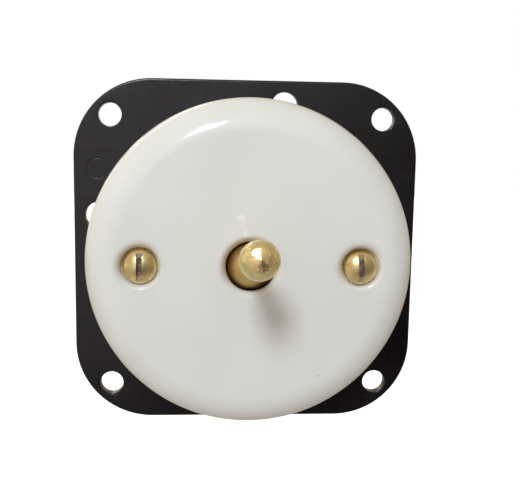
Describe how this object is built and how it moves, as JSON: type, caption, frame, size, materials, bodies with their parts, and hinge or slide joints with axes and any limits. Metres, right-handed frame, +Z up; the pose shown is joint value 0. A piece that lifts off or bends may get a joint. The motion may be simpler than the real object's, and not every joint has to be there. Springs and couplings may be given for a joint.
{
  "type": "round porcelain toggle switch",
  "caption": "Round porcelain toggle switch on a square base plate, brass lever up, with a rocking knife blade between spring jaws.",
  "frame": {"origin": "centre of the base plate's back face, which lies on the wall", "axes": "+X to the right, +Z up, +Y into the wall; the toggle points towards -Y"},
  "size_m": [0.08, 0.0524, 0.08],
  "materials": {
    "black_phenolic": "polished moulded phenolic, slightly dusty",
    "glazed_porcelain": "glossy white glaze",
    "aged_brass": "polished brass with light patina",
    "plain_brass": "satin brass",
    "phosphor_bronze": "rolled spring bronze",
    "copper": "rolled copper",
    "bright_steel": "ground steel",
    "zinc_steel": "zinc plated",
    "red_fibre": "vulcanised fibre"
  },
  "bodies": {
    "housing": {"base_plate": "black_phenolic", "mechanism_base": "glazed_porcelain", "cover": "glazed_porcelain", "cover_screw_left": "aged_brass", "cover_screw_right": "aged_brass", "cover_post_left": "plain_brass", "cover_post_right": "plain_brass", "post_screws": "zinc_steel", "bridge": "plain_brass", "bridge_screws": "plain_brass", "bridge_nuts": "plain_brass", "pivot_pin": "bright_steel", "rocker_axle": "bright_steel", "terminal_screws": "zinc_steel", "terminal_fixings": "zinc_steel", "common_link": "copper", "jaw_upper_left": "phosphor_bronze", "terminal_upper_left": "plain_brass", "jaw_upper_right": "phosphor_bronze", "terminal_upper_right": "plain_brass", "jaw_lower_left": "phosphor_bronze", "terminal_lower_left": "plain_brass", "jaw_lower_right": "phosphor_bronze", "terminal_lower_right": "plain_brass"},
    "toggle_lever": {"toggle": "aged_brass", "plunger_spring": "bright_steel"},
    "plunger_pin": {"plunger": "bright_steel"},
    "rocker_blade": {"rocker": "red_fibre", "knife_blade": "copper", "blade_rivets": "copper"}
  },
  "joints": [
    {"name": "toggle_throw", "type": "hinge", "parent": "housing", "child": "toggle_lever", "pos_m": [0, -0.0195, 0], "axis": [1, 0, 0], "range_deg": [0, 20]},
    {"name": "rocker_rock", "type": "hinge", "parent": "housing", "child": "rocker_blade", "pos_m": [0, -0.0098, 0], "axis": [1, 0, 0], "range_deg": [-28, 0]},
    {"name": "plunger_slide", "type": "slide", "parent": "toggle_lever", "child": "plunger_pin", "axis": [0, -0.9848, 0.1736], "range_m": [0, 0.0006], "stiffness_N_per_m": 200, "deforming": ["plunger_spring"]}
  ],
  "couplings": [
    {"joint": "rocker_rock", "follows": "toggle_throw", "ratio": -1.4}
  ]
}
